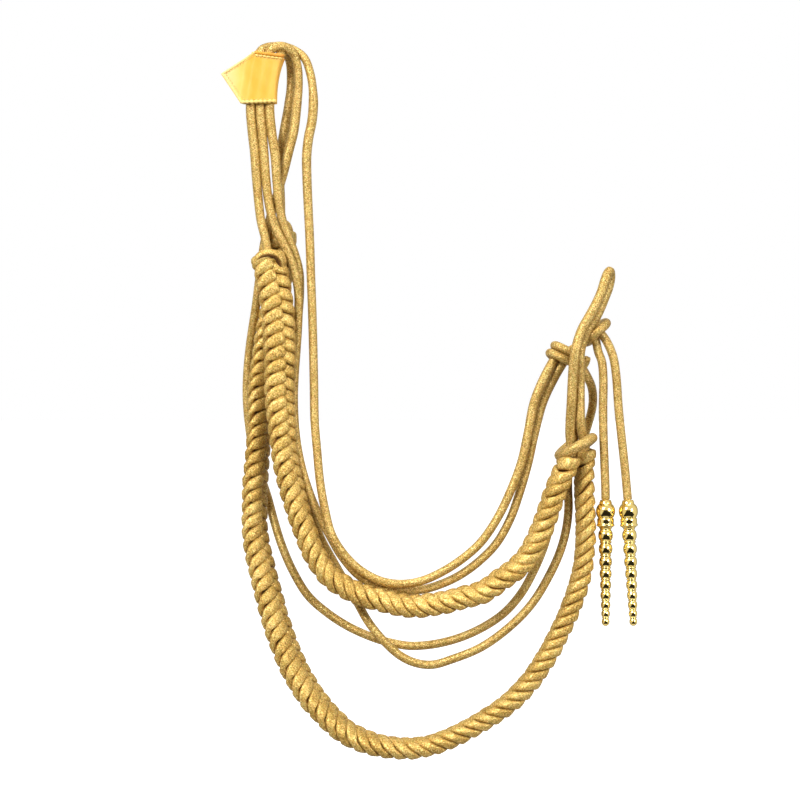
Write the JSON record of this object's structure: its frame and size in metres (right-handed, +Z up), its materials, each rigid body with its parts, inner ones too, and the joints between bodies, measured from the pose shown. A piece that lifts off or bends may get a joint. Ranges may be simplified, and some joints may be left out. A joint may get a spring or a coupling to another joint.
{
  "type": "aiguillette",
  "caption": "Dress aiguillette: two plaits and plain metallic cords hung from a cloth shoulder tab to a button loop, with two turned metal tips on free cords.",
  "frame": {"origin": "underside of the arch of cords at the shoulder tab, where the shoulder button or peg carries it", "axes": "+X to the viewer's right, from the shoulder tab to the button loop, +Z up, -Y towards the viewer"},
  "size_m": [0.2974, 0.0436, 0.5137],
  "materials": {
    "cord": "metallic gold thread, braided",
    "plait": "plaited metallic gold cord",
    "satin": "glossy yellow satin",
    "gilt": "polished gilt"
  },
  "bodies": {
    "root": {"shoulder_tab": "satin", "front_cord_left": "cord", "front_cord_middle": "cord", "front_cord_right": "cord", "rear_cord_left": "cord", "rear_cord_middle": "cord", "rear_cord_right": "cord", "button_loop": "cord", "tip_cord_left": "cord", "tip_cord_right": "cord", "knot_tuck": "cord", "knot_coil": "cord", "tip_cord_wrap": "cord", "plait_end_wrap": "cord", "front_plait": "plait", "rear_plait": "plait", "tip_left": "gilt", "tip_right": "gilt"}
  },
  "joints": []
}
